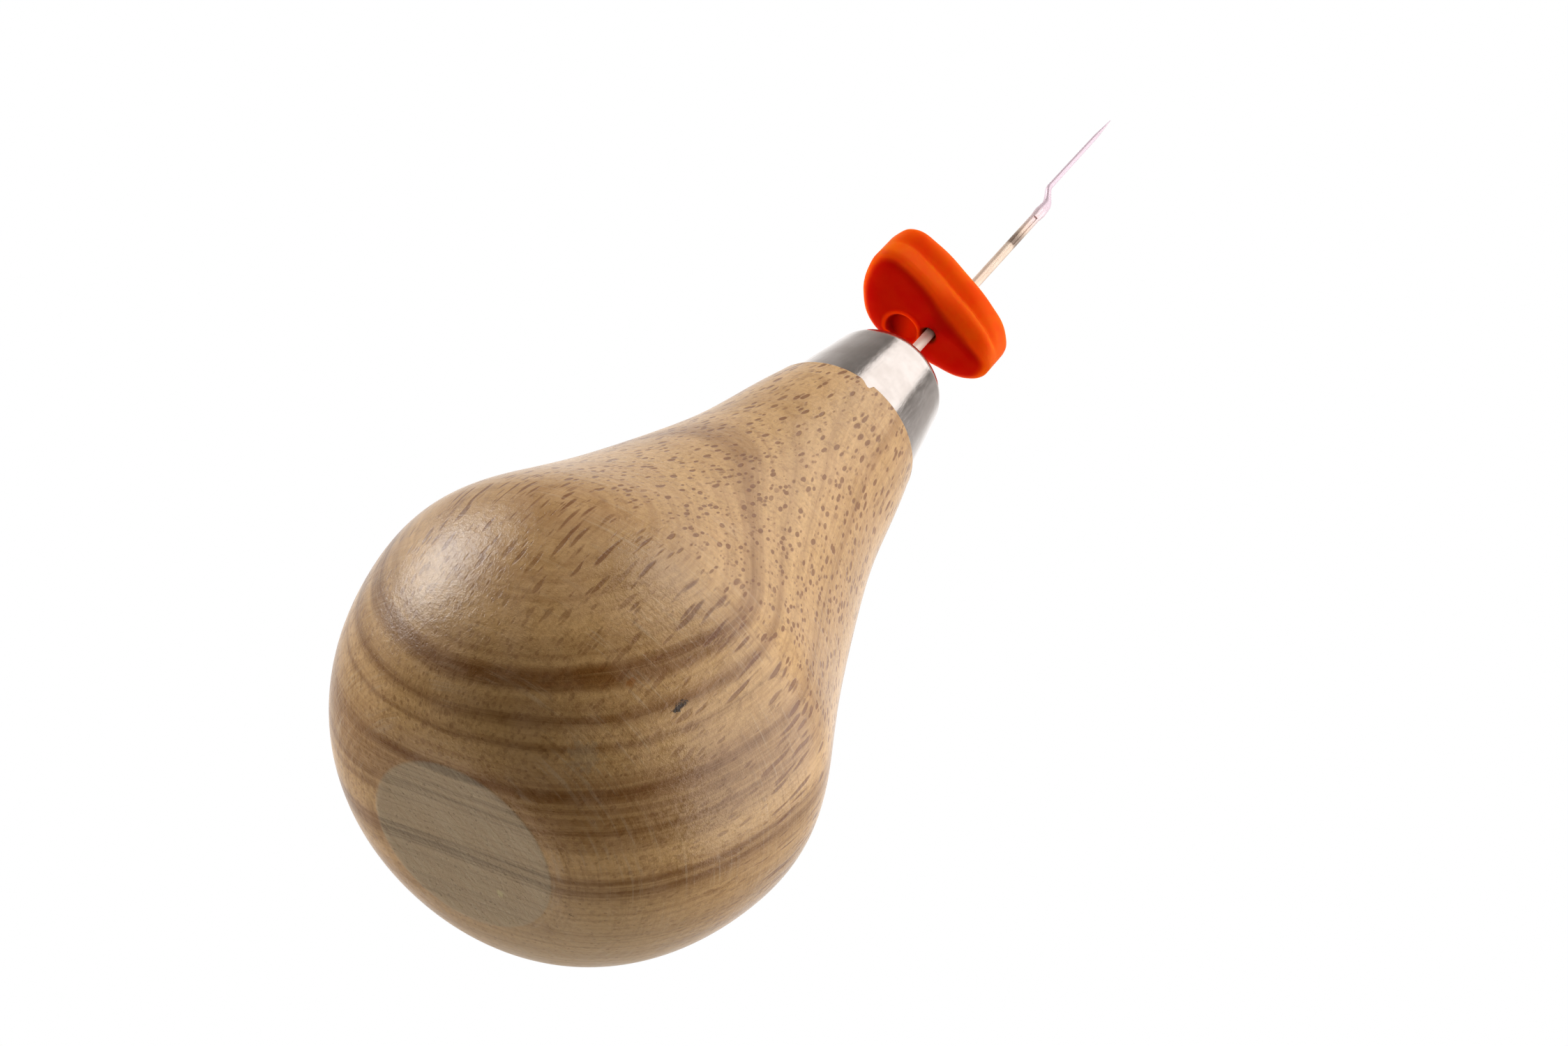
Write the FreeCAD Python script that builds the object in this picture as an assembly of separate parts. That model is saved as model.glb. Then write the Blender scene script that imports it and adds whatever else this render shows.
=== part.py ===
import FreeCAD, Part
import math
import os

# Scratch awl, in millimetres. The origin is the middle of the handle's flat butt,
# and +Z runs along the needle, from the butt to the point.
# Pieces: a turned handle, a drawn ferrule on its tenon, a needle whose tang is
# glued into the handle, and a soft stopper that slides on the needle's shank.

# Handle: a ball that runs out into a slim neck
ball_radius = 18.0
ball_height = 16.2          # from the butt to the ball's widest place
butt_radius = 7.1           # flat face that the awl stands on
handle_length = 51.7        # from the butt to the shoulder that the ferrule meets
neck_radius = 6.85          # at that shoulder
shoulder_round = 0.5

# Outline between those sizes: share of the height, share of the radius gained or lost
BALL_CURVE = [(0.128, 0.436), (0.434, 0.807), (0.74, 0.967)]
NECK_CURVE = [(0.163, 0.83), (0.306, 0.639), (0.446, 0.475), (0.589, 0.32), (0.731, 0.188), (0.871, 0.094)]

# Ferrule: a tapered cap, open to the handle, with the needle's hole in its end
ferrule_length = 9.4
ferrule_rim_radius = 6.4    # outside, at the shoulder
ferrule_end_radius = 4.7    # outside, where the taper would meet the end
ferrule_wall = 0.4
ferrule_corner = 2.2        # outside rounding of the closed end
ferrule_hole_clearance = 0.1
tenon_gap = 0.3             # between the tenon's end and the inside of the ferrule's end

# Needle
shank_radius = 0.43
needle_length_out = 44.0    # from the ferrule's end to the point
shank_length_out = 26.4     # from the ferrule's end to the swell
swell_radius = 0.52
swell_length = 2.2
crank_offset = 0.9          # sideways step of the thin point, towards -X
crank_length = 2.6
stem_radius = 0.24          # thin point, where the crank ends
stem_end_radius = 0.2       # where the last taper starts
tip_taper = 3.2
tip_radius = 0.03
groove_width = 0.36
groove_length = 4.8
groove_depth = 0.5
groove_end_depth = 0.12
groove_setback = 0.2        # from the groove's shallow end to the swell

# Tang and the glue around it
tang_depth = 20.0           # below the handle's shoulder
glue_thickness = 0.2
glue_under_tang = 0.8

# Stopper: a kernel-shaped pad of two tiers, wide on the -X side
stopper_gap = 6.0           # from the ferrule's end to the stopper, as it stands
travel_clearance = 0.3      # left between the stopper and what ends its travel
stopper_height = 4.2
pillow_height = 1.9         # the narrower tier, towards the handle
pillow_inset = 0.4          # how far the narrower tier stands in from the wide one
pillow_round = 0.8
flange_round = 0.6
bore_clearance = 0.05
dimple_radius = 1.4
dimple_depth = 0.35
DIMPLE_PLACE = (-2.3, 1.6)
STOPPER_OUTLINE = [
    (5.7, -0.6), (4.9, 1.1), (2.2, 2.5), (-1.3, 3.4), (-4.3, 3.6), (-6.5, 1.7), (-7.5, -0.9),
    (-7.5, -2.9), (-6.7, -4.4), (-4.4, -4.9), (-1.0, -4.7), (2.2, -3.9), (4.7, -2.6),
]

# Heights that follow from the sizes above
ferrule_end_z = handle_length + ferrule_length
tenon_end_z = ferrule_end_z - ferrule_wall - tenon_gap
tang_end_z = handle_length - tang_depth
hole_end_z = tang_end_z - glue_under_tang
hole_radius = shank_radius + glue_thickness
swell_z = ferrule_end_z + shank_length_out
tip_z = ferrule_end_z + needle_length_out
stopper_z = ferrule_end_z + stopper_gap
stopper_bore = shank_radius + bore_clearance
stopper_top_z = stopper_z + stopper_height
past = 1.0                  # how far a cutting solid runs past the face that it cuts

UP = FreeCAD.Vector(0, 0, 1)


def point(r, z):
    return FreeCAD.Vector(r, 0, z)


def turned(edges):
    """Closed outline in the XZ plane, turned about Z."""
    face = Part.Face(Part.Wire(edges))
    return face.revolve(FreeCAD.Vector(0, 0, 0), UP, 360)


def lines(points):
    """Straight edges through points, closed back to the first one."""
    pairs = zip(points, points[1:] + points[:1])
    return [Part.LineSegment(a, b).toShape() for a, b in pairs]


def rod(radius, low, high):
    return Part.makeCylinder(radius, high - low, FreeCAD.Vector(0, 0, low), UP)


def handle_outline():
    """The handle's visible outline, butt to shoulder, as one smooth curve."""
    points = [point(butt_radius, 0)]
    for height, share in BALL_CURVE:
        points.append(point(butt_radius + (ball_radius - butt_radius) * share, ball_height * height))
    points.append(point(ball_radius, ball_height))
    neck = handle_length - shoulder_round - ball_height
    for height, share in NECK_CURVE:
        points.append(point(neck_radius + (ball_radius - neck_radius) * share, ball_height + neck * height))
    points.append(point(neck_radius, handle_length - shoulder_round))
    curve = Part.BSplineCurve()
    curve.interpolate(points)
    return curve.toShape()


def ferrule_cap(inset):
    """The ferrule's outer form, moved inwards by inset on its side and its end."""
    slope = (ferrule_rim_radius - ferrule_end_radius) / ferrule_length
    side = inset * math.sqrt(1 + slope * slope)
    top = ferrule_end_z - inset
    rim = ferrule_rim_radius - side
    end = rim - slope * (top - handle_length)
    cap = turned(lines([point(0, handle_length), point(rim, handle_length), point(end, top), point(0, top)]))
    corner = min(ferrule_corner, end * 0.6) - inset
    edges = [e for e in cap.Edges if e.BoundBox.ZMin > top - 0.001 and e.BoundBox.XMax > end * 0.99]
    return cap.makeFillet(corner, edges)


def make_handle():
    edge_z = handle_length - shoulder_round
    corner = point(neck_radius - shoulder_round, handle_length)
    half_way = shoulder_round * math.sqrt(0.5)
    middle = point(neck_radius - shoulder_round + half_way, edge_z + half_way)
    rounding = Part.Arc(point(neck_radius, edge_z), middle, corner).toShape()
    body = turned([
        Part.LineSegment(point(0, 0), point(butt_radius, 0)).toShape(),
        handle_outline(),
        rounding,
        Part.LineSegment(corner, point(0, handle_length)).toShape(),
        Part.LineSegment(point(0, handle_length), point(0, 0)).toShape(),
    ])
    tenon = ferrule_cap(ferrule_wall).common(rod(ferrule_rim_radius, handle_length, tenon_end_z))
    hole = rod(hole_radius, hole_end_z, tenon_end_z + past)
    return body.fuse(tenon).removeSplitter().cut(hole)


def make_ferrule():
    shell = ferrule_cap(0).cut(ferrule_cap(ferrule_wall))
    return shell.cut(rod(shank_radius + ferrule_hole_clearance, tenon_end_z, ferrule_end_z + past))


def make_glue():
    plug = rod(hole_radius, hole_end_z, tenon_end_z)
    return plug.cut(rod(shank_radius, tang_end_z, tenon_end_z + past))


def crank():
    """The swell and the step to the thin point, lofted through round sections."""
    low = swell_z
    mid = swell_z + swell_length
    sections = [
        (0, low, shank_radius),
        (0, low + 0.5 * swell_length, swell_radius),
        (-0.1 * crank_offset, mid, 0.85 * swell_radius),
        (-0.55 * crank_offset, mid + 0.45 * crank_length, 0.5 * (swell_radius + stem_radius) * 0.9),
        (-0.95 * crank_offset, mid + 0.85 * crank_length, stem_radius),
        (-crank_offset, mid + crank_length, stem_radius),
    ]
    rings = []
    for x, z, radius in sections:
        rings.append(Part.Wire(Part.makeCircle(radius, FreeCAD.Vector(x, 0, z), UP)))
    return Part.makeLoft(rings, True)


def groove():
    """A slot in the shank's -Y side that gets shallower towards the swell."""
    high = swell_z - groove_setback
    low = high - groove_length
    face_y = -shank_radius
    outside = face_y - past
    deep = (face_y + groove_depth, low)
    shallow = (face_y + groove_end_depth, high)
    corners = [(outside, low), deep, shallow, (outside, high)]
    wedge = Part.Face(Part.Wire(lines([FreeCAD.Vector(-groove_width / 2, y, z) for y, z in corners])))
    return wedge.extrude(FreeCAD.Vector(groove_width, 0, 0))


def make_needle():
    stem_z = swell_z + swell_length + crank_length
    taper_z = tip_z - tip_taper
    at = FreeCAD.Vector(-crank_offset, 0, stem_z)
    taper_at = FreeCAD.Vector(-crank_offset, 0, taper_z)
    stem = Part.makeCone(stem_radius, stem_end_radius, taper_z - stem_z, at, UP)
    tip = Part.makeCone(stem_end_radius, tip_radius, tip_taper, taper_at, UP)
    shank = rod(shank_radius, tang_end_z, swell_z)
    return shank.fuse([crank(), stem, tip]).cut(groove())


def stopper_tier(inset, low, high):
    """One tier of the stopper: its outline, drawn in by inset and raised from low to high."""
    points = []
    for x, y in STOPPER_OUTLINE:
        shrink = 1 - inset / math.hypot(x, y)
        points.append(FreeCAD.Vector(x * shrink, y * shrink, low))
    curve = Part.BSplineCurve()
    curve.interpolate(points, PeriodicFlag=True)
    return Part.Face(Part.Wire(curve.toShape())).extrude(FreeCAD.Vector(0, 0, high - low))


def rim_edges(solid, z):
    return [e for e in solid.Edges if abs(e.BoundBox.ZMin - z) < 0.001 and abs(e.BoundBox.ZMax - z) < 0.001]


def make_stopper():
    seam_z = stopper_z + pillow_height
    pillow = stopper_tier(pillow_inset, stopper_z, seam_z)
    pillow = pillow.makeFillet(pillow_round, rim_edges(pillow, stopper_z))
    flange = stopper_tier(0, seam_z, stopper_top_z)
    flange = flange.makeFillet(flange_round, rim_edges(flange, stopper_top_z))
    dimple = Part.makeCylinder(dimple_radius, dimple_depth, FreeCAD.Vector(*DIMPLE_PLACE, stopper_z), UP)
    return pillow.fuse(flange).cut(dimple).cut(rod(stopper_bore, stopper_z - past, stopper_top_z + past))


PIECES = {
    "handle": make_handle,
    "ferrule": make_ferrule,
    "needle": make_needle,
    "tang_glue": make_glue,
    "stopper": make_stopper,
}

os.makedirs("parts", exist_ok=True)
for name, make in PIECES.items():
    shape = make()
    shape.exportStep("parts/" + name + ".step")
    print(name, len(shape.Solids), "solid", shape.isValid(), "volume", round(shape.Volume, 2))
down = stopper_gap - travel_clearance
up = swell_z - stopper_top_z - travel_clearance
print("stopper travel", round(-down, 2), round(up, 2))
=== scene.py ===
"""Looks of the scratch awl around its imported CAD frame.

The handle, ferrule, needle and stopper are finer meshes that stand for their CAD
nodes, and the glue around the tang keeps its CAD mesh. Lengths named here are in
millimetres, in the frame's own axes, and become metres when a mesh is made.
"""

import math

import bpy
import numpy as np
from mathutils import Matrix, Vector


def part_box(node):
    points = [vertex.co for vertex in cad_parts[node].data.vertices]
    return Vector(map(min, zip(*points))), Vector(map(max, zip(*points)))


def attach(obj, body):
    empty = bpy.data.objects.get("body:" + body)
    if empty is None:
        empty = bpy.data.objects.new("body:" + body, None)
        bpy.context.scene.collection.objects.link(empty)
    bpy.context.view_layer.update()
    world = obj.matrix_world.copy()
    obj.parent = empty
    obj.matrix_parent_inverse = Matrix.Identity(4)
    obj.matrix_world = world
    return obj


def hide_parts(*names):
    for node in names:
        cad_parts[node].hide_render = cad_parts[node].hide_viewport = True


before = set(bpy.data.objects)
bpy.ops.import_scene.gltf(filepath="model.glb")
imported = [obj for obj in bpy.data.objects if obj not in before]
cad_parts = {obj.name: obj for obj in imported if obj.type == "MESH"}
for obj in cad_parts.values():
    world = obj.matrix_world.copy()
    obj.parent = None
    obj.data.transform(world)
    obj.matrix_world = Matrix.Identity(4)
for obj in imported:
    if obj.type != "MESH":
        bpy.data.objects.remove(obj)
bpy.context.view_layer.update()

MM = 0.001


def box_mm(node):
    """A CAD node's lowest and highest corners in millimetres."""
    low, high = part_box(node)
    return low / MM, high / MM


def rise(value, low, high):
    """A smooth climb from 0 at low to 1 at high. With high under low it falls instead."""
    t = np.clip((value - low) / (high - low), 0.0, 1.0)
    return t * t * (3 - 2 * t)


# ---------------------------------------------------------------- meshes

def skin(name, rows, loop=False, sharp=None):
    """A mesh through rows of points in millimetres. A row of one point is a pole.

    With loop the last row meets the first. Edges over sharp degrees stay crisp.
    """
    starts = []
    points = []
    for row in rows:
        starts.append(len(points))
        points.extend(row)
    pairs = list(zip(range(len(rows) - 1), range(1, len(rows))))
    if loop:
        pairs.append((len(rows) - 1, 0))
    faces = []
    for a, b in pairs:
        count = max(len(rows[a]), len(rows[b]))
        for i in range(count):
            j = (i + 1) % count
            first = [starts[a] + i, starts[a] + j] if len(rows[a]) > 1 else [starts[a]]
            second = [starts[b] + j, starts[b] + i] if len(rows[b]) > 1 else [starts[b]]
            faces.append(first + second)
    mesh = bpy.data.meshes.new(name)
    mesh.from_pydata([tuple(c * MM for c in p) for p in points], [], faces)
    mesh.shade_smooth()
    if sharp is not None:
        mesh.set_sharp_from_angle(angle=math.radians(sharp))
    piece = bpy.data.objects.new(name, mesh)
    bpy.context.scene.collection.objects.link(piece)
    return piece


def circle(radius, z, segments):
    """One ring of points about Z, as an array."""
    turn = np.linspace(0, 2 * math.pi, segments, endpoint=False)
    return np.column_stack([radius * np.cos(turn), radius * np.sin(turn), np.full(segments, z)])


def arc(centre, radius, start, end, steps):
    """(r, z) points round a centre, with angles in degrees from the r axis."""
    angles = np.radians(np.linspace(start, end, steps))
    return [(centre[0] + radius * math.cos(a), centre[1] + radius * math.sin(a)) for a in angles]


def resampled(outline, step):
    """The same (r, z) outline with its long runs divided."""
    dense = [outline[0]]
    for (r0, z0), (r1, z1) in zip(outline, outline[1:]):
        count = max(1, round(math.hypot(r1 - r0, z1 - z0) / step))
        for k in range(1, count + 1):
            dense.append((r0 + (r1 - r0) * k / count, z0 + (z1 - z0) * k / count))
    return dense


# ---------------------------------------------------------------- handle

HANDLE_SEGMENTS = 240
HANDLE_ROWS = 190        # up the side, from the butt's edge to the shoulder's
HANDLE_STEP = 0.3
HANDLE_FILL = 0.9997     # keeps the ball's widest ring inside the CAD mesh's flats
HANDLE_LEAST_RADIUS = 6.5    # the side is everywhere wider than this, and the tenon is not
BUTT_EDGE_ROUND = 0.25
BUTT_EDGE_FORM = [(1.5, 0.0), (0.4, 0.12)]   # how far in and up, as shares of that rounding
BUTT_EDGE_TOP = 0.7
NECK_EDGE_ROUND = 0.35
FERRULE_WALL = 0.4
TENON_END_FORM = [(1.4, 0.3), (1.8, 0.0)]    # how far in from its side and down from its end
CHIP_TURNS = (-104.0, -93.0)     # where the shoulder's edge is chipped, in degrees about Z
CHIP_BREAK = 2.0         # turn over which its deep end breaks off
CHIP_DROP = 0.55
CHIP_HEIGHT = 1.3        # how far below the shoulder it fades out
CHIP_MARGIN = 0.05       # how far inside the tenon's radius it still reaches


def handle_radii():
    """Heights and outside radii of the CAD handle between its butt and its shoulder."""
    vertices = np.array([v.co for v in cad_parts["handle"].data.vertices]) / MM
    radius = np.hypot(vertices[:, 0], vertices[:, 1])
    shoulder = box_mm("ferrule")[0].z
    outside = (radius > HANDLE_LEAST_RADIUS) & (vertices[:, 2] < shoulder - 0.01)
    order = np.argsort(vertices[outside, 2])
    return vertices[outside, 2][order], HANDLE_FILL * radius[outside][order]


def make_handle():
    heights, radii = handle_radii()
    shoulder = box_mm("ferrule")[0].z
    rim = box_mm("ferrule")[1].x
    tenon_end = box_mm("handle")[1].z
    hole_low, hole_high = box_mm("tang_glue")
    butt = float(np.interp(0, heights, radii))
    outline = [(0, 0), (0.5 * butt, 0)]
    for inwards, up in BUTT_EDGE_FORM:
        outline.append((butt - inwards * BUTT_EDGE_ROUND, up * BUTT_EDGE_ROUND))
    side_end = shoulder - NECK_EDGE_ROUND
    for z in np.linspace(BUTT_EDGE_TOP * BUTT_EDGE_ROUND, side_end, HANDLE_ROWS):
        outline.append((float(np.interp(z, heights, radii)), float(z)))
    neck = outline[-1][0]
    outline += arc((neck - NECK_EDGE_ROUND, side_end), NECK_EDGE_ROUND, 15, 90, 5)
    tenon = rim - FERRULE_WALL
    outline.append((tenon, shoulder))
    for inwards, down in TENON_END_FORM:
        outline.append((tenon - inwards, tenon_end - down))
    outline += [(hole_high.x, tenon_end), (hole_high.x, hole_low.z), (0, hole_low.z)]
    rows = []
    for r, z in resampled(outline, HANDLE_STEP):
        if r < 1e-6:
            rows.append([(0.0, 0.0, z)])
            continue
        ring = circle(r, z, HANDLE_SEGMENTS)
        if z > shoulder - CHIP_HEIGHT and r > tenon - CHIP_MARGIN:
            ring = chipped(ring, shoulder)
        rows.append([tuple(p) for p in ring])
    piece = skin("handle_wood", list(reversed(rows)), sharp=50)
    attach(piece, "awl")
    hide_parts("handle")
    return piece


def chipped(ring, shoulder):
    """A ring near the shoulder with the chip pressed into its edge."""
    turn = np.degrees(np.arctan2(ring[:, 1], ring[:, 0]))
    start, end = CHIP_TURNS
    depth = rise(turn, start, end) * rise(turn, end, end - CHIP_BREAK)
    near_edge = rise(ring[:, 2], shoulder - CHIP_HEIGHT, shoulder)
    ring[:, 2] -= CHIP_DROP * depth * near_edge
    return ring


# ---------------------------------------------------------------- ferrule

FERRULE_SEGMENTS = 192
FERRULE_STEP = 0.35
FERRULE_CORNER = 2.2
FERRULE_END_RADIUS = 4.7
FERRULE_SKIRT = 0.6      # how far its rim sits in the shoulder, seen only at the chip
FERRULE_RIM_INSET = 0.001    # keeps the rim inside the CAD ferrule's box
FERRULE_HOLE_GAP = 0.1
FERRULE_HOLE_EDGE = [(0.25, 0.02), (0.08, 0.08), (0.0, 0.25)]    # how far out from the hole, and down


def make_ferrule():
    low, high = box_mm("ferrule")
    rim = high.x
    slope = (rim - FERRULE_END_RADIUS) / (high.z - low.z)
    lean = math.degrees(math.atan(slope))
    corner_z = high.z - FERRULE_CORNER
    corner_r = FERRULE_END_RADIUS + slope * FERRULE_CORNER - FERRULE_CORNER
    foot = rim - FERRULE_RIM_INSET
    outline = [(foot + slope * FERRULE_SKIRT, low.z - FERRULE_SKIRT), (foot, low.z)]
    outline += arc((corner_r, corner_z), FERRULE_CORNER, lean, 90, 24)
    hole = SHANK_RADIUS + FERRULE_HOLE_GAP
    for outwards, down in FERRULE_HOLE_EDGE:
        outline.append((hole + outwards, high.z - down))
    outline += [(hole, high.z - FERRULE_WALL), (corner_r, high.z - FERRULE_WALL)]
    outline += arc((corner_r, corner_z), FERRULE_CORNER - FERRULE_WALL, 88, lean, 10)
    outline += [(rim - FERRULE_WALL, low.z), (rim - FERRULE_WALL, low.z - FERRULE_SKIRT)]
    rows = []
    for r, z in resampled(outline, FERRULE_STEP):
        rows.append([tuple(p) for p in circle(r, z, FERRULE_SEGMENTS)])
    piece = skin("ferrule_cap", rows, loop=True, sharp=55)
    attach(piece, "awl")
    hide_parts("ferrule")
    return piece


# ---------------------------------------------------------------- needle

SHANK_RADIUS = 0.43
SWELL_RADIUS = 0.52
SWELL_LOW = 26.4         # above the ferrule's end
SWELL_LENGTH = 2.2
SWELL_TOP_RADIUS = 0.4472
CRANK_LENGTH = 2.6
CRANK_OFFSET = 0.9
CRANK_WAIST = (0.45, 0.34)   # share of the crank's length, and the radius there
STEM_RADIUS = 0.24
STEM_END_RADIUS = 0.2
TIP_RADIUS = 0.03
TIP_TAPER = 3.2
GROOVE_WIDTH = 0.36
GROOVE_SPAN = (-5.0, -0.2)   # from the swell
GROOVE_DEPTHS = (0.5, 0.12)
GROOVE_END = 0.02        # length over which the groove's ends step to the full round
NEEDLE_SEGMENTS = 40


def needle_section(z, swell, tip):
    """Centre offset along X and radius of the needle at one height."""
    crank = swell + SWELL_LENGTH
    waist_share, waist_radius = CRANK_WAIST
    form = [
        (swell, SHANK_RADIUS),
        (swell + 0.5 * SWELL_LENGTH, SWELL_RADIUS),
        (crank, SWELL_TOP_RADIUS),
        (crank + waist_share * CRANK_LENGTH, waist_radius),
        (crank + CRANK_LENGTH, STEM_RADIUS),
        (tip - TIP_TAPER, STEM_END_RADIUS),
        (tip, TIP_RADIUS),
    ]
    offset = -CRANK_OFFSET * float(rise(z, crank, crank + CRANK_LENGTH))
    return offset, float(np.interp(z, *zip(*form)))


def make_needle():
    low, high = box_mm("needle")
    swell = box_mm("ferrule")[1].z + SWELL_LOW
    groove_low = swell + GROOVE_SPAN[0]
    groove_high = swell + GROOVE_SPAN[1]
    heights = list(np.linspace(low.z, groove_low - GROOVE_END, 60))
    heights += list(np.linspace(groove_low, groove_high, 40))
    heights += list(np.linspace(groove_high + GROOVE_END, high.z, 120))
    rows = [[(0.0, 0.0, low.z)]]
    for z in heights:
        offset, radius = needle_section(z, swell, high.z)
        ring = circle(radius, z, NEEDLE_SEGMENTS)
        if groove_low <= z <= groove_high:
            share = (z - groove_low) / (groove_high - groove_low)
            floor_y = -radius + np.interp(share, (0, 1), GROOVE_DEPTHS)
            in_groove = (np.abs(ring[:, 0]) < GROOVE_WIDTH / 2) & (ring[:, 1] < floor_y)
            ring[in_groove, 1] = floor_y
        ring[:, 0] += offset
        rows.append([tuple(p) for p in ring])
    rows.append([(-CRANK_OFFSET, 0.0, high.z)])
    piece = skin("needle_steel", rows, sharp=40)
    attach(piece, "awl")
    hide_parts("needle")
    return piece


# ---------------------------------------------------------------- stopper

STOPPER_OUTLINE = [
    (5.7, -0.6), (4.9, 1.1), (2.2, 2.5), (-1.3, 3.4), (-4.3, 3.6), (-6.5, 1.7), (-7.5, -0.9),
    (-7.5, -2.9), (-6.7, -4.4), (-4.4, -4.9), (-1.0, -4.6), (2.2, -3.9), (4.7, -2.6),
]
STOPPER_SEGMENTS = 240
# The side's form, as (share of the height, how far it stands in). The ridge side faces -Y.
RIDGE_FORM = [
    (0.0, 3.0), (0.02, 2.3), (0.06, 1.75), (0.12, 1.3), (0.19, 0.92), (0.26, 0.64), (0.33, 0.48),
    (0.4, 0.44), (0.45, 0.52), (0.49, 0.64), (0.53, 0.54), (0.6, 0.3), (0.68, 0.13), (0.78, 0.02),
    (0.84, 0.0), (0.91, 0.05), (0.96, 0.18), (0.99, 0.45), (1.0, 0.9),
]
PLAIN_FORM = [
    (0.0, 1.7), (0.02, 1.0), (0.05, 0.6), (0.09, 0.3), (0.14, 0.1), (0.2, 0.0), (0.84, 0.0),
    (0.91, 0.05), (0.96, 0.18), (0.99, 0.45), (1.0, 0.9),
]
RIDGE_TURNS = (-160.0, -138.0, -38.0, -12.0)    # it grows over the first two and fades over the last two
CREASE_SHARE = 0.49      # where the crease lies in the ridge's form
CREASE_HIGH = (-6.8, 0.6)    # X, and the crease's share of the height there
CREASE_LOW = (5.2, 0.42)
CREASE_LEAN = ((-4.0, 0.5), (4.5, -0.25))    # X, and how much further in the side stands there
LEAN_SHARES = (0.1, 0.35, 0.53, 0.75)    # it grows over the first two shares of the height and fades
UNDERSIDE_HOLLOW = 0.08
BORE_RADIUS = 0.48
BORE_MOUTH_RADIUS = 0.8
BORE_MOUTH_DEPTH = 1.8
# The bore's mouth from inside outwards, as (radius, share of its depth)
BORE_MOUTH_FORM = [(BORE_RADIUS, 1.0), (BORE_RADIUS + 0.12, 0.5), (0.75 * BORE_MOUTH_RADIUS, 0.2)]
BORE_TOP_EDGE = 0.15
UNDERSIDE_RINGS = 40
TOP_RINGS = 8
DIMPLE_PLACE = (-2.0, 1.4)
DIMPLE_RADIUS = 1.6
DIMPLE_DEPTH = 0.5
DIMPLE_WALL = 0.35       # how far its side slopes
DIMPLE_WALL_GAP = 0.1    # from its radius to where that slope starts
DIMPLE_LIP = 0.1
DIMPLE_LIP_GAP = 0.05
DIMPLE_LIP_WIDTH = 0.2
UNDERSIDE_REACH = (0.3, 0.6)     # heights over which the dimple stops moving points


def closed_curve(points, count):
    """Turns about Z, evenly spread, and the radius at each of a smooth closed curve through points."""
    curve = bpy.data.curves.new("outline", "CURVE")
    curve.dimensions = "3D"
    spline = curve.splines.new("BEZIER")
    spline.bezier_points.add(len(points) - 1)
    for place, (x, y) in zip(spline.bezier_points, points):
        place.co = (x, y, 0)
        place.handle_left_type = "AUTO"
        place.handle_right_type = "AUTO"
    spline.use_cyclic_u = True
    spline.resolution_u = 24
    holder = bpy.data.objects.new("outline", curve)
    bpy.context.scene.collection.objects.link(holder)
    mesh = bpy.data.meshes.new_from_object(holder)
    dense = np.array([v.co for v in mesh.vertices])[:, :2]
    bpy.data.objects.remove(holder)
    bpy.data.meshes.remove(mesh)
    turn = np.unwrap(np.arctan2(dense[:, 1], dense[:, 0]))
    radius = np.hypot(dense[:, 0], dense[:, 1])
    wanted = turn[0] + np.linspace(0, 2 * math.pi, count, endpoint=False)
    turn = np.append(turn, turn[0] + 2 * math.pi)
    radius = np.append(radius, radius[0])
    return wanted, np.interp(wanted, turn, radius)


def ridge_share(turn):
    """1 where the stopper's side has its ridge and crease, 0 where it is plain."""
    degrees = (np.degrees(turn) + 180) % 360 - 180
    grow, full, fade, gone = RIDGE_TURNS
    return rise(degrees, grow, full) * rise(degrees, gone, fade)


def side_insets(shares, lean, ridge):
    """How far the side stands in at each share of the height, one array for each."""
    grow, full, fade, gone = LEAN_SHARES
    insets = []
    for share in shares:
        near_crease = rise(share, grow, full) * rise(share, gone, fade)
        ridged = np.interp(share, *zip(*RIDGE_FORM)) + lean * near_crease
        plain = np.interp(share, *zip(*PLAIN_FORM))
        insets.append(plain + ridge * (ridged - plain))
    return insets


def make_stopper():
    low, high = box_mm("stopper")
    height = high.z - low.z
    turn, reach = closed_curve(STOPPER_OUTLINE, STOPPER_SEGMENTS)
    ridge = ridge_share(turn)
    shares = sorted({share for share, inset in RIDGE_FORM + PLAIN_FORM})
    lean = np.interp(reach * np.cos(turn), *zip(*CREASE_LEAN))
    insets = side_insets(shares, lean, ridge)
    levels = []
    for radius, share in BORE_MOUTH_FORM:
        levels.append((radius, low.z + share * BORE_MOUTH_DEPTH))
    for share in np.linspace(0, 1, UNDERSIDE_RINGS)[:-1]:
        radius = BORE_MOUTH_RADIUS + (reach - insets[0] - BORE_MOUTH_RADIUS) * share
        levels.append((radius, low.z + UNDERSIDE_HOLLOW * rise(share, 1, 0)))
    for share, inset in zip(shares, insets):
        radius = reach - inset
        slanted = share + ridge * (creased(share, radius * np.cos(turn)) - share)
        levels.append((radius, low.z + slanted * height))
    for share in np.linspace(0, 1, TOP_RINGS)[1:]:
        radius = (reach - insets[-1]) * (1 - share) + (BORE_RADIUS + BORE_TOP_EDGE) * share
        levels.append((radius, high.z))
    levels.append((BORE_RADIUS, high.z - BORE_TOP_EDGE))
    rows = []
    for radius, z in levels:
        row = np.column_stack([radius * np.cos(turn), radius * np.sin(turn), np.broadcast_to(z, turn.shape)])
        rows.append([tuple(p) for p in dimpled(row, low.z)])
    piece = skin("stopper_pad", list(reversed(rows)), loop=True)
    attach(piece, "stopper_pad")
    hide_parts("stopper")
    return piece


def creased(share, x):
    """A share of the stopper's height, moved so that the crease slants along X."""
    crease = np.interp(x, (CREASE_HIGH[0], CREASE_LOW[0]), (CREASE_HIGH[1], CREASE_LOW[1]))
    if share <= CREASE_SHARE:
        return share * crease / CREASE_SHARE
    return crease + (share - CREASE_SHARE) * (1 - crease) / (1 - CREASE_SHARE)


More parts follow.
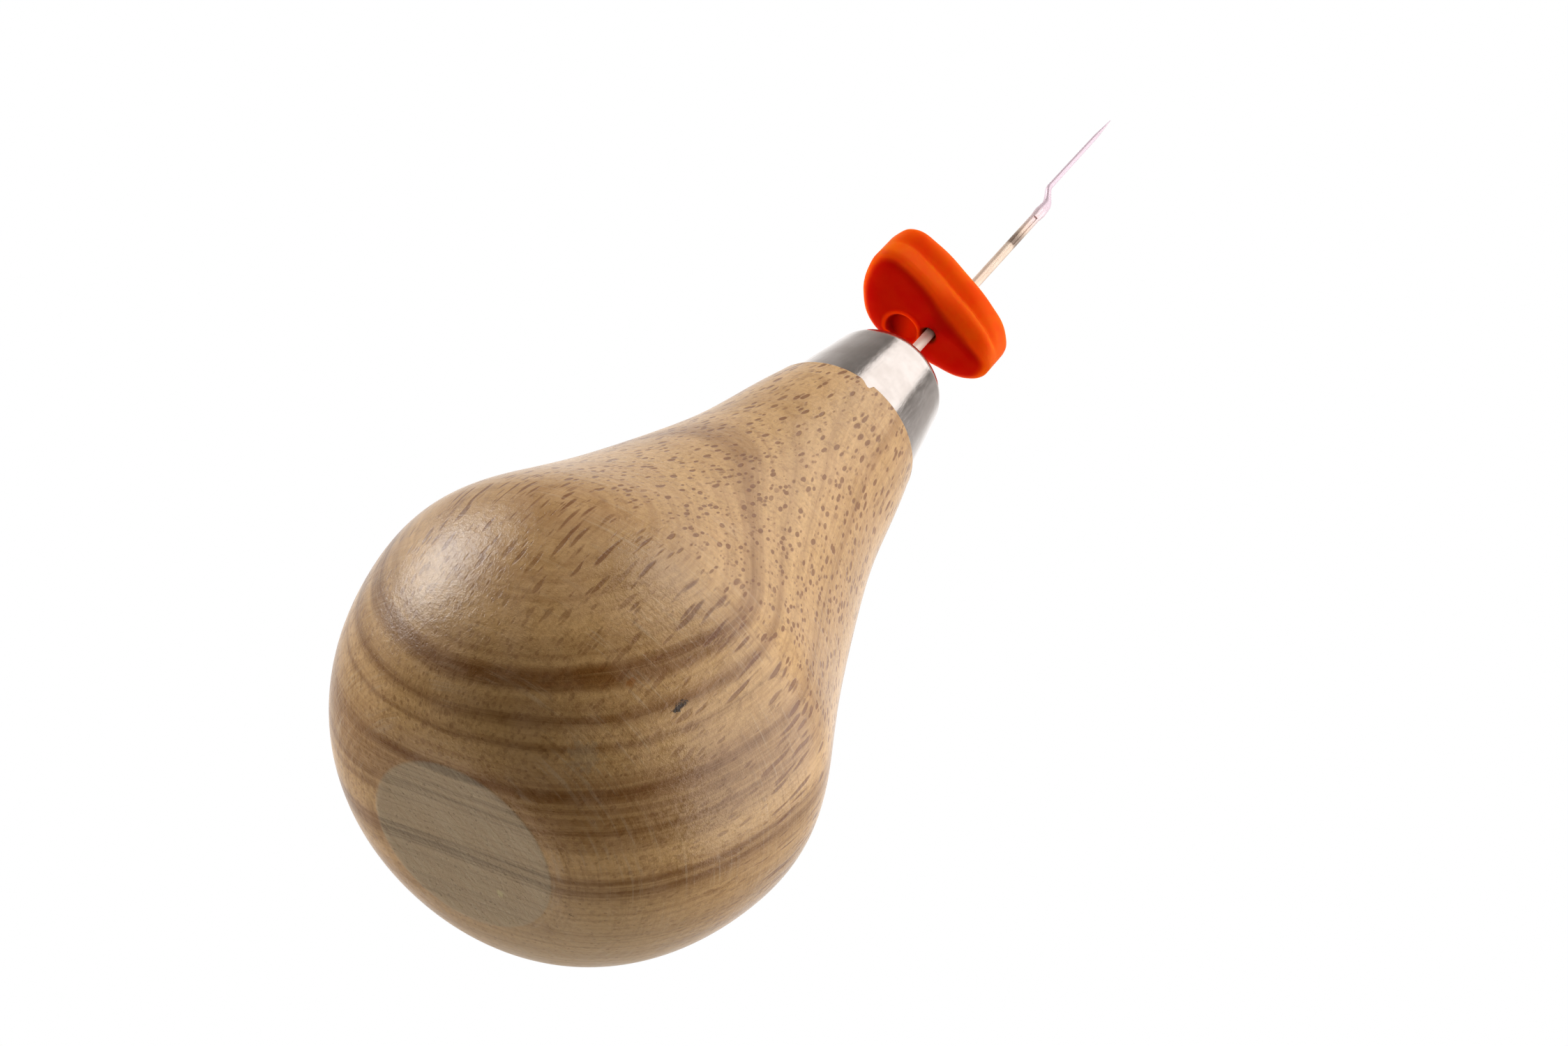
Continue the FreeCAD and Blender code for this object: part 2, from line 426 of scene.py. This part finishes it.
def dimpled(row, base):
    """A row of the stopper with the round dimple and its raised lip in the underside."""
    away = np.hypot(row[:, 0] - DIMPLE_PLACE[0], row[:, 1] - DIMPLE_PLACE[1])
    full, gone = UNDERSIDE_REACH
    underside = rise(row[:, 2], base + gone, base + full)
    wall = DIMPLE_RADIUS - DIMPLE_WALL_GAP
    cup = DIMPLE_DEPTH * rise(away, wall, wall - DIMPLE_WALL)
    lip = DIMPLE_LIP * np.exp(-(((away - DIMPLE_RADIUS - DIMPLE_LIP_GAP) / DIMPLE_LIP_WIDTH) ** 2))
    row[:, 2] += underside * (cup - lip)
    return row


# ---------------------------------------------------------------- materials

def srgb(red, green, blue):
    """A linear colour from a 0 to 255 screen colour."""
    linear = []
    for value in (red, green, blue):
        v = value / 255
        linear.append(v / 12.92 if v <= 0.04045 else ((v + 0.055) / 1.055) ** 2.4)
    return (*linear, 1.0)


def fill_ramp(ramp_node, stops):
    """Give a colour ramp these stops alone: (place from 0 to 1, linear colour)."""
    elements = ramp_node.color_ramp.elements
    while len(elements) > 1:
        elements.remove(elements[-1])
    first_position, first_colour = stops[0]
    elements[0].position = first_position
    elements[0].color = (*first_colour, 1.0)
    for position, colour in stops[1:]:
        elements.new(position).color = (*colour, 1.0)


class Graph:
    """Short calls for building one material's node tree."""

    def __init__(self, name):
        self.material = bpy.data.materials.new(name)
        self.material.use_nodes = True
        self.tree = self.material.node_tree
        self.shader = self.tree.nodes["Principled BSDF"]

    def node(self, kind, inputs=(), **settings):
        made = self.tree.nodes.new(kind)
        for key, value in settings.items():
            setattr(made, key, value)
        for key, value in dict(inputs).items():
            self.put(made.inputs[key], value)
        return made

    def put(self, socket, value):
        if isinstance(value, bpy.types.NodeSocket):
            self.tree.links.new(value, socket)
        else:
            socket.default_value = value

    def math(self, operation, a, b=0.0, clamp=False):
        return self.node("ShaderNodeMath", {0: a, 1: b}, operation=operation, use_clamp=clamp).outputs[0]

    def vector(self, operation, a, b=(0, 0, 0)):
        made = self.node("ShaderNodeVectorMath", {0: a, 1: b}, operation=operation)
        return made.outputs["Value" if operation in ("DOT_PRODUCT", "LENGTH", "DISTANCE") else "Vector"]

    def place(self):
        """The surface point in millimetres, in the frame's axes."""
        return self.scaled(self.node("ShaderNodeTexCoord").outputs["Object"], 1 / MM)

    def scaled(self, vector, scale):
        return self.node("ShaderNodeVectorMath", {0: vector, "Scale": scale}, operation="SCALE").outputs[0]

    def height(self, at):
        """The height of a place above the butt, in millimetres."""
        return self.node("ShaderNodeSeparateXYZ", {0: at}).outputs[2]

    def turned_place(self, at, *axes):
        """Three lengths along the given directions as one vector. Each is (direction, scale)."""
        parts = {}
        for index, (direction, scale) in enumerate(axes):
            parts[index] = self.math("MULTIPLY", self.vector("DOT_PRODUCT", at, direction), scale)
        return self.node("ShaderNodeCombineXYZ", parts).outputs[0]

    def noise(self, at, scale, detail=2.0, roughness=0.5):
        inputs = {"Vector": at, "Scale": scale, "Detail": detail, "Roughness": roughness}
        return self.node("ShaderNodeTexNoise", inputs).outputs["Fac"]

    def span(self, value, low, high, out_low=0.0, out_high=1.0):
        """A smooth change from out_low to out_high while value goes from low to high."""
        inputs = {"Value": value, "From Min": low, "From Max": high, "To Min": out_low, "To Max": out_high}
        return self.node("ShaderNodeMapRange", inputs, interpolation_type="SMOOTHSTEP").outputs[0]

    def mix(self, factor, a, b):
        """Colour a where factor is 0 and b where it is 1."""
        made = self.node("ShaderNodeMix", data_type="RGBA")
        self.put(made.inputs[0], factor)
        self.put(made.inputs[6], a)
        self.put(made.inputs[7], b)
        return made.outputs[2]

    def ramp(self, value, stops):
        """A grey ramp: stops are (place from 0 to 1, brightness)."""
        made = self.node("ShaderNodeValToRGB", {"Fac": value})
        fill_ramp(made, [(position, (level, level, level)) for position, level in stops])
        return made.outputs["Color"]

    def bump(self, height, depth, normal=None):
        """A bump of that depth in millimetres for a height from 0 to 1."""
        inputs = {"Height": height, "Distance": depth * MM, "Strength": 1.0}
        made = self.node("ShaderNodeBump", inputs)
        if normal is not None:
            self.put(made.inputs["Normal"], normal)
        return made.outputs["Normal"]

    def set(self, **values):
        for key, value in values.items():
            self.put(self.shader.inputs[key.replace("_", " ")], value)


# Wood: rings lie across RING_AXIS, and pores run along FIBRE
RING_AXIS = Vector((-0.59, -0.805, 0.061)).normalized()
FIBRE = Vector((0.035, -0.129, 1.0)).normalized()
ACROSS_FIBRE = FIBRE.cross(Vector((0, 1, 0))).normalized()
THIRD_FIBRE = FIBRE.cross(ACROSS_FIBRE)
RING_REACH = 22.0
# Place along RING_AXIS and darkness from 0 to 1
RINGS = [
    (-20.5, 0.2), (-17.2, 0.7), (-16.8, 0.2), (-13.2, 0.55), (-12.9, 0.15), (-9.4, 0.15), (-8.1, 0.5),
    (-7.8, 0.15), (-5.2, 0.4), (-4.8, 0.2), (-3.4, 0.1), (-2.0, 0.3), (-0.9, 0.85), (-0.4, 0.6),
    (0.05, 0.8), (0.4, 0.15), (1.6, 0.0),
    (1.7, 0.0), (2.4, 0.1), (2.8, 0.5), (3.3, 0.35), (4.0, 0.75), (4.5, 0.48), (5.5, 0.62), (6.1, 0.52),
    (6.75, 0.95), (7.3, 0.5), (8.8, 0.1), (9.3, 0.1), (9.6, 0.6), (9.9, 0.1), (10.4, 0.0), (11.1, 0.8),
    (11.7, 0.25), (12.4, 0.1), (12.7, 0.7), (13.4, 1.0), (13.9, 0.25), (14.5, 0.4), (15.2, 0.0),
    (16.8, 0.3), (18.3, 0.4), (21.0, 0.1),
]
RING_SPLIT = 17          # one colour ramp holds the rings up to here, another the rest
WOOD_LIGHT = srgb(222, 177, 118)
WOOD_DARK = srgb(123, 77, 25)
WOOD_STREAK = srgb(164, 114, 60)
WOOD_PORE = srgb(118, 64, 17)
WOOD_BARE = srgb(187, 159, 124)
WOOD_BARE_DARK = srgb(104, 84, 64)
WOOD_WARM = srgb(222, 180, 140)      # in broad patches
WOOD_SCRATCHED = srgb(222, 200, 170)
WOOD_SANDED = srgb(196, 176, 140)
PORE_SHIFT = (40.0, 17.0, 9.0)       # so that the long pores don't start where the short ones do
SAND_ACROSS = Vector((0.23, -0.97, 0))
SAND_ALONG = Vector((0.97, 0.23, 0))
BARE_SIDE = Vector((0.55, 0.25, -0.8)).normalized()     # towards the paler, uncoated part beside the butt
# Marks in the surface: place, radius, how much longer along the fibre, how strong, and colour
SPECKS = [
    ((2.03, -12.67, 2.89), 1.3, 1.0, 0.4, srgb(186, 160, 126)),
    ((4.44, -15.97, 8.48), 0.32, 3.5, 0.95, srgb(48, 34, 26)),
    ((13.17, -12.08, 17.92), 0.28, 1.0, 0.9, srgb(60, 40, 26)),
    ((8.39, -1.95, 0.56), 0.25, 1.0, 0.9, srgb(60, 44, 30)),
    ((3.99, 1.27, 0.0), 0.35, 1.0, 0.8, srgb(206, 188, 140)),
    ((1.06, -16.0, 7.29), 0.3, 1.6, 0.45, srgb(168, 100, 24)),
]


def pores(g, at, ring_late, per_mm, stretch, reach):
    """Long drops along the fibre that the surface cuts open, from 0 to 1. More lie in late wood."""
    pore_at = g.turned_place(at, (ACROSS_FIBRE, per_mm), (THIRD_FIBRE, per_mm), (FIBRE, stretch))
    cell = g.node("ShaderNodeTexVoronoi", {"Vector": pore_at, "Scale": 1.0, "Randomness": 1.0})
    draw = g.node("ShaderNodeSeparateColor", {"Color": cell.outputs["Color"]}).outputs
    least, most = reach
    wide = g.span(draw[0], 0.0, 1.0, least, most)
    open_here = g.span(g.math("SUBTRACT", wide, cell.outputs["Distance"]), -0.06, 0.07)
    present = g.span(g.math("ADD", draw[1], g.math("MULTIPLY", ring_late, 0.3)), 0.1, 0.5)
    return g.math("MULTIPLY", open_here, present)


def all_pores(g, at, late, height):
    """Every pore that the surface opens, and the small ones alone. They fade towards the butt."""
    bend = g.node("ShaderNodeTexNoise", {"Vector": at, "Scale": 0.35, "Detail": 1.0}).outputs["Color"]
    bent = g.vector("ADD", at, g.scaled(bend, 0.5))
    shifted = g.vector("ADD", bent, PORE_SHIFT)
    short = pores(g, bent, late, 1.45, 0.17, (0.13, 0.29))
    long = pores(g, shifted, late, 1.9, 0.12, (0.19, 0.36))
    large = g.math("MULTIPLY", g.math("MAXIMUM", short, long), g.span(height, 4.0, 15.0, 0.25, 0.75))
    small = pores(g, bent, late, 2.5, 0.42, (0.12, 0.27))
    faint = g.math("MULTIPLY", small, g.span(height, 4.0, 15.0, 0.32, 0.5))
    return g.math("MAXIMUM", large, faint), small


def late_wood(g, at, height):
    """The place along the rings, with a slow wander, and how dark the ring is there, from 0 to 1."""
    wander = g.math("MULTIPLY", g.math("SUBTRACT", g.noise(at, 0.09, 2.0), 0.5), 0.9)
    ring_place = g.math("ADD", g.vector("DOT_PRODUCT", at, RING_AXIS), wander)
    ring_share = g.math("ADD", g.math("MULTIPLY", ring_place, 0.5 / RING_REACH), 0.5)
    stops = [((place + RING_REACH) / (2 * RING_REACH), level) for place, level in RINGS]
    late = g.math("ADD", g.ramp(ring_share, stops[:RING_SPLIT]), g.ramp(ring_share, stops[RING_SPLIT:]))
    return ring_place, g.math("MULTIPLY", late, g.span(height, 8.0, 30.0, 1.0, 0.5))


def bare_wood(g, at, late, streak, small_pores):
    """The sanded wood's colour, and the sanding marks that lie across it."""
    sand_at = g.turned_place(at, (SAND_ACROSS, 3.5), (SAND_ALONG, 0.25), (FIBRE, 1.0))
    sanding = g.noise(sand_at, 1.0, 4.0, 0.7)
    bare = g.mix(g.span(late, 0.35, 1.0, 0.0, 0.55), WOOD_BARE, WOOD_BARE_DARK)
    bare = g.mix(g.span(sanding, 0.4, 0.65, 0.0, 0.4), bare, WOOD_SANDED)
    bare = g.mix(g.span(streak, 0.45, 0.7, 0.0, 0.3), bare, WOOD_BARE_DARK)
    bare = g.mix(g.math("MULTIPLY", small_pores, 0.3), bare, WOOD_BARE_DARK)
    return bare, sanding


def specked(g, at, colour):
    """The same colour with each of SPECKS over it, ragged at its edge."""
    for centre, radius, stretch, strength, tint in SPECKS:
        offset = g.vector("SUBTRACT", at, centre)
        spread = g.turned_place(offset, (ACROSS_FIBRE, 1.0), (THIRD_FIBRE, 1.0), (FIBRE, 1 / stretch))
        reach = g.math("DIVIDE", g.vector("LENGTH", spread), radius)
        ragged = g.math("ADD", reach, g.span(g.noise(at, 2.5, 4.0, 0.8), 0.3, 0.7, -0.45, 0.45))
        colour = g.mix(g.span(ragged, 0.5, 1.0, strength, 0.0), colour, tint)
    return colour


def wood():
    g = Graph("turned_wood")
    at = g.place()
    height = g.height(at)
    ring_place, late = late_wood(g, at, height)

    # Fine streaks along the rings and along the fibre, flecks, and broad warm patches
    ring_at = g.node("ShaderNodeCombineXYZ", {0: g.math("MULTIPLY", ring_place, 3.2)}).outputs[0]
    ring_at = g.vector("ADD", ring_at, g.vector("MULTIPLY", at, (0.05, 0.05, 0.05)))
    streak = g.noise(ring_at, 1.0, 4.0, 0.7)
    grain_at = g.turned_place(at, (ACROSS_FIBRE, 4.0), (THIRD_FIBRE, 4.0), (FIBRE, 0.3))
    grain = g.noise(grain_at, 1.0, 4.0, 0.65)
    fleck = g.noise(at, 1.6, 4.0, 0.75)
    mottle = g.noise(at, 0.35, 3.0, 0.6)
    late = g.math("MULTIPLY", late, g.span(streak, 0.35, 0.6, 0.65, 1.2), clamp=True)
    colour = g.mix(late, WOOD_LIGHT, WOOD_DARK)
    colour = g.mix(g.span(streak, 0.45, 0.72, 0.0, 0.38), colour, WOOD_STREAK)
    colour = g.mix(g.span(grain, 0.35, 0.75, 0.0, 0.42), colour, WOOD_STREAK)
    colour = g.mix(g.span(fleck, 0.48, 0.7, 0.0, 0.36), colour, WOOD_DARK)
    colour = g.mix(g.span(mottle, 0.35, 0.7, 0.0, 0.2), colour, WOOD_WARM)
    pore, small_pores = all_pores(g, at, late, height)
    colour = g.mix(pore, colour, WOOD_PORE)

    # Fine marks from turning run round the handle
    marks = g.noise(g.vector("MULTIPLY", at, (0.16, 0.16, 4.5)), 1.0, 4.0, 0.75)
    mark_area = g.span(g.noise(at, 0.2, 2.0), 0.42, 0.6)
    mark_share = g.math("MULTIPLY", mark_area, g.span(height, 5.0, 40.0, 0.28, 0.1))
    colour = g.mix(g.math("MULTIPLY", g.span(marks, 0.52, 0.68), mark_share), colour, WOOD_SCRATCHED)
    colour = g.mix(g.math("MULTIPLY", g.span(marks, 0.48, 0.36), mark_share), colour, WOOD_DARK)

    # The butt is sanded bare, and on one side beside it the wood is paler and has no coat
    butt = g.span(height, 0.01, 0.06, 1.0, 0.0)
    pale_bare_side = g.span(g.vector("DOT_PRODUCT", at, BARE_SIDE), 0.0, 7.5, 0.0, 0.9)
    dull = g.math("MAXIMUM", butt, pale_bare_side)
    bare, sanding = bare_wood(g, at, late, streak, small_pores)
    colour = specked(g, at, g.mix(dull, colour, bare))

    normal = g.bump(pore, -0.02)
    normal = g.bump(g.math("MULTIPLY", marks, mark_share), 0.06, normal)
    normal = g.bump(grain, 0.012, normal)
    normal = g.bump(fleck, 0.06, normal)
    normal = g.bump(g.math("MULTIPLY", sanding, butt), 0.03, normal)
    g.set(Base_Color=colour, Roughness=g.span(mottle, 0.3, 0.7, 0.42, 0.55), Normal=normal)
    g.set(Specular_IOR_Level=0.3)
    g.set(Coat_Weight=g.math("MULTIPLY", g.math("SUBTRACT", 1.0, dull), 0.55))
    g.set(Coat_Roughness=0.16, Coat_IOR=1.5, Coat_Normal=normal)
    return g.material


def plating():
    g = Graph("ferrule_nickel")
    at = g.place()
    drawn = g.noise(g.vector("MULTIPLY", at, (4.0, 4.0, 0.25)), 1.0, 3.0, 0.6)
    cloud = g.noise(at, 0.5, 3.0)
    colour = g.mix(g.span(cloud, 0.3, 0.7), srgb(208, 197, 190), srgb(222, 212, 206))
    g.set(Base_Color=colour, Metallic=1.0, Roughness=g.span(drawn, 0.3, 0.7, 0.15, 0.22))
    g.set(Normal=g.bump(drawn, 0.006))
    return g.material


def steel():
    g = Graph("needle_polished_steel")
    at = g.place()
    height = g.height(at)
    ferrule_end = box_mm("ferrule")[1].z
    polish = g.noise(g.vector("MULTIPLY", at, (3.0, 3.0, 0.6)), 1.0, 2.0)

    # Paler beside the ferrule from a painted highlight, pinker towards the point, and painted shade where
    # the groove starts
    shank = g.mix(g.span(polish, 0.3, 0.7), srgb(222, 196, 174), srgb(232, 210, 190))
    painted_highlight_by_ferrule = g.span(height, ferrule_end + 4.4, ferrule_end + 7.4, 0.9, 0.0)
    shank = g.mix(painted_highlight_by_ferrule, shank, srgb(255, 243, 228))
    thin = g.span(height, ferrule_end + 22.9, ferrule_end + 28.9)
    colour = g.mix(thin, shank, srgb(236, 212, 224))
    # Painted shade in the groove: darker where it starts
    groove_start = ferrule_end + SWELL_LOW + GROOVE_SPAN[0]
    painted_shade_begins = g.span(height, groove_start - 0.4, groove_start + 0.3)
    in_groove = g.math("MULTIPLY", painted_shade_begins, g.span(height, groove_start + 1.0, groove_start + 3.0, 1.0, 0.0))
    colour = g.mix(g.math("MULTIPLY", in_groove, 0.8), colour, srgb(120, 96, 82))
    g.set(Base_Color=colour, Metallic=0.35, Roughness=g.span(polish, 0.3, 0.7, 0.36, 0.42))
    return g.material


def soft_plastic():
    """Orange plastic that light passes through: red far, green less, so thin edges glow."""
    g = Graph("stopper_soft_plastic")
    at = g.place()
    base = box_mm("stopper")[0].z
    height = g.height(at)
    cloud = g.noise(at, 0.5, 3.0)
    side = g.mix(g.span(cloud, 0.3, 0.7), srgb(255, 82, 0), srgb(255, 96, 0))
    # Painted shade: the underside is given a darker red than the sides, up to just above its base
    under = g.mix(g.span(cloud, 0.3, 0.7), srgb(200, 8, 0), srgb(204, 22, 0))
    colour = g.mix(g.span(height, base + 0.1, base + 0.45), under, side)
    away = g.vector("DISTANCE", g.vector("MULTIPLY", at, (1.0, 1.0, 0.0)), (*DIMPLE_PLACE, 0.0))
    in_dimple = g.span(away, DIMPLE_RADIUS - 0.25, DIMPLE_RADIUS - 0.05, 1.0, 0.0)
    # Painted highlight: a brighter orange on the dimple's raised lip
    lip = g.math("SUBTRACT", g.span(away, DIMPLE_RADIUS + 0.35, DIMPLE_RADIUS, 0.0, 1.0), in_dimple)
    low_down = g.span(height, base + 0.9, base + 1.2, 1.0, 0.0)
    colour = g.mix(g.math("MULTIPLY", lip, g.math("MULTIPLY", low_down, 0.6)), colour, srgb(255, 70, 0))
    # Painted shade inside the dimple: darker red on one side of its hollow, lighter towards the other
    across = g.vector("DOT_PRODUCT", g.vector("SUBTRACT", at, (*DIMPLE_PLACE, 0.0)), (0.95, -0.3, 0.0))
    cup = g.mix(g.span(across, -1.1, 0.7), srgb(168, 4, 0), srgb(228, 38, 0))
    colour = g.mix(g.math("MULTIPLY", in_dimple, low_down), colour, cup)
    # Painted shadow: near-black red round the bore where the needle enters
    bore = g.vector("LENGTH", g.vector("MULTIPLY", at, (1.0, 1.0, 0.0)))
    colour = g.mix(g.span(bore, 0.5, 1.0, 0.9, 0.0), colour, srgb(60, 6, 0))
    grain = g.noise(at, 6.0, 3.0)
    g.set(Base_Color=colour, Roughness=g.span(grain, 0.3, 0.7, 0.48, 0.6))
    g.set(Subsurface_Weight=1.0, Subsurface_Radius=(1.0, 0.25, 0.03), Subsurface_Scale=0.0022)
    g.set(Specular_IOR_Level=0.05, Normal=g.bump(grain, 0.01))
    return g.material


def resin():
    g = Graph("tang_epoxy")
    at = g.place()
    cloud = g.noise(at, 1.5, 3.0)
    g.set(Base_Color=g.mix(cloud, srgb(200, 176, 110), srgb(214, 196, 140)), Roughness=0.3)
    return g.material


def give(piece, material):
    piece.data.materials.clear()
    piece.data.materials.append(material)


give(make_handle(), wood())
give(make_ferrule(), plating())
give(make_needle(), steel())
give(make_stopper(), soft_plastic())
give(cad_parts["tang_glue"], resin())


# ---------------------------------------------------------------- studio

CAMERA_PLACE = Vector((1.5234, -157.4928, -102.3479))
CAMERA_TILT = math.radians(42.28554)    # up from level, looking along +Y
CAMERA_ROLL = math.radians(41.95914)
CAMERA_FORWARD = Vector((0.0, math.cos(CAMERA_TILT), math.sin(CAMERA_TILT)))
SENSOR = 36.0
FOCAL_LENGTH = 64.06
LIGHT_DISTANCE = 2.5     # in metres, as are the next two
ACCENT_DISTANCE = 0.5
ACCENT_RADIUS = 0.02
ACCENT_CONE = math.radians(3.4)
ACCENT_POWER = 3.0       # in watts
ACCENT_DIRECTION = (-0.2, -0.75, -0.6)
# The lighting field from straight behind the camera, at 0, to straight ahead of it, at 1
WORLD_FIELD = [
    (0.25, (0.028, 0.021, 0.012)), (0.5, (0.065, 0.055, 0.041)), (0.7, (0.12, 0.115, 0.11)),
    (0.9, (0.42, 0.41, 0.4)), (1.0, (1.0, 1.0, 1.0)),
]
WORLD_STRENGTH = 1.3
FLOOR_HALF = 1500.0


def make_camera():
    data = bpy.data.cameras.new("camera")
    data.sensor_width = SENSOR
    data.lens = FOCAL_LENGTH
    data.clip_start = 0.005
    camera = bpy.data.objects.new("camera", data)
    level_right = Vector((1, 0, 0))
    level_up = level_right.cross(CAMERA_FORWARD)
    right = math.cos(CAMERA_ROLL) * level_right + math.sin(CAMERA_ROLL) * level_up
    axes = Matrix((right, right.cross(CAMERA_FORWARD), -CAMERA_FORWARD)).transposed()
    camera.matrix_world = Matrix.Translation(CAMERA_PLACE * MM) @ axes.to_4x4()
    bpy.context.scene.collection.objects.link(camera)
    bpy.context.scene.camera = camera


def softbox(name, aim, direction, spread, radiance, reflected=True):
    """A rectangular light at LIGHT_DISTANCE from aim, in that direction from it.

    Its spread is its width and height as shares of that distance.
    """
    width, height = (share * LIGHT_DISTANCE for share in spread)
    data = bpy.data.lights.new(name, "AREA")
    data.shape = "RECTANGLE"
    data.size = width
    data.size_y = height
    data.energy = radiance * width * height * math.pi
    light = bpy.data.objects.new(name, data)
    place_light(light, Vector(aim) * MM, direction, LIGHT_DISTANCE)
    light.visible_glossy = reflected


def place_light(light, target, direction, distance):
    """Put a light that far from target in that direction, facing it and unseen by the camera."""
    away = Vector(direction).normalized()
    turned = away.to_track_quat("Z", "Y").to_matrix().to_4x4()
    light.matrix_world = Matrix.Translation(target + distance * away) @ turned
    light.visible_camera = False
    bpy.context.scene.collection.objects.link(light)


def make_accent():
    """A narrow soft spot that reaches only the stopper's ridge and leaves the ball in shade."""
    low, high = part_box("stopper")
    data = bpy.data.lights.new("stopper_accent", "SPOT")
    data.energy = ACCENT_POWER
    data.spot_size = ACCENT_CONE
    data.spot_blend = 0.5
    data.shadow_soft_size = ACCENT_RADIUS
    light = bpy.data.objects.new("stopper_accent", data)
    place_light(light, (low + high) / 2, ACCENT_DIRECTION, ACCENT_DISTANCE)


def make_world():
    """White behind everything, and for the light a field that is darkest on the camera's side."""
    world = bpy.data.worlds.new("studio")
    world.use_nodes = True
    nodes = world.node_tree.nodes
    link = world.node_tree.links.new
    direction = nodes.new("ShaderNodeTexCoord").outputs["Generated"]
    facing = nodes.new("ShaderNodeVectorMath")
    facing.operation = "DOT_PRODUCT"
    facing.inputs[1].default_value = CAMERA_FORWARD
    link(direction, facing.inputs[0])
    spread = nodes.new("ShaderNodeMapRange")
    spread.inputs["From Min"].default_value = -1.0
    link(facing.outputs["Value"], spread.inputs["Value"])
    field = nodes.new("ShaderNodeValToRGB")
    fill_ramp(field, WORLD_FIELD)
    link(spread.outputs["Result"], field.inputs["Fac"])
    lighting = nodes.new("ShaderNodeBackground")
    lighting.inputs["Strength"].default_value = WORLD_STRENGTH
    link(field.outputs["Color"], lighting.inputs["Color"])
    seen = nodes.new("ShaderNodeBackground")
    seen.inputs["Color"].default_value = (1, 1, 1, 1)
    choose = nodes.new("ShaderNodeMixShader")
    link(nodes.new("ShaderNodeLightPath").outputs["Is Camera Ray"], choose.inputs[0])
    link(lighting.outputs[0], choose.inputs[1])
    link(seen.outputs[0], choose.inputs[2])
    link(choose.outputs[0], nodes["World Output"].inputs["Surface"])
    bpy.context.scene.world = world


def make_floor():
    """A pale floor under the butt. From below, where the photograph's camera is, it isn't seen."""
    corners = [(x * FLOOR_HALF, y * FLOOR_HALF, 0) for x, y in ((-1, -1), (1, -1), (1, 1), (-1, 1))]
    piece = skin("floor", [corners, [(0, 0, 0)]])
    g = Graph("floor_paper")
    tint = g.noise(g.place(), 0.02, 2.0)
    g.set(Base_Color=g.mix(tint, srgb(236, 236, 234), srgb(242, 242, 240)), Roughness=0.8)
    under = g.node("ShaderNodeBsdfTransparent").outputs[0]
    choose = g.node("ShaderNodeMixShader")
    g.put(choose.inputs[0], g.node("ShaderNodeNewGeometry").outputs["Backfacing"])
    g.put(choose.inputs[1], g.shader.outputs[0])
    g.put(choose.inputs[2], under)
    g.put(g.tree.nodes["Material Output"].inputs["Surface"], choose.outputs[0])
    give(piece, g.material)
    piece.visible_shadow = False
    piece.visible_glossy = False
    piece.visible_diffuse = False


make_camera()
make_world()
make_floor()
softbox("left_softbox", (0, 0, 20), (-0.97, 0.12, 0.12), (0.56, 0.56), 7.5)
softbox("top_softbox", (0, 0, 55), (0.03, -0.33, 0.94), (0.72, 0.52), 1.3)
softbox("front_softbox", (0, 0, 20), (-0.12, -0.8, 0.55), (0.68, 0.6), 3.2)
softbox("right_reflector", (0, 0, 20), (0.84, -0.42, 0.35), (1.4, 1.4), 2.2)
softbox("under_reflector", (0, 0, 0), (-0.1, 0.85, -0.55), (0.8, 0.8), 4.0, reflected=False)
make_accent()
bpy.context.scene.view_settings.view_transform = "Standard"
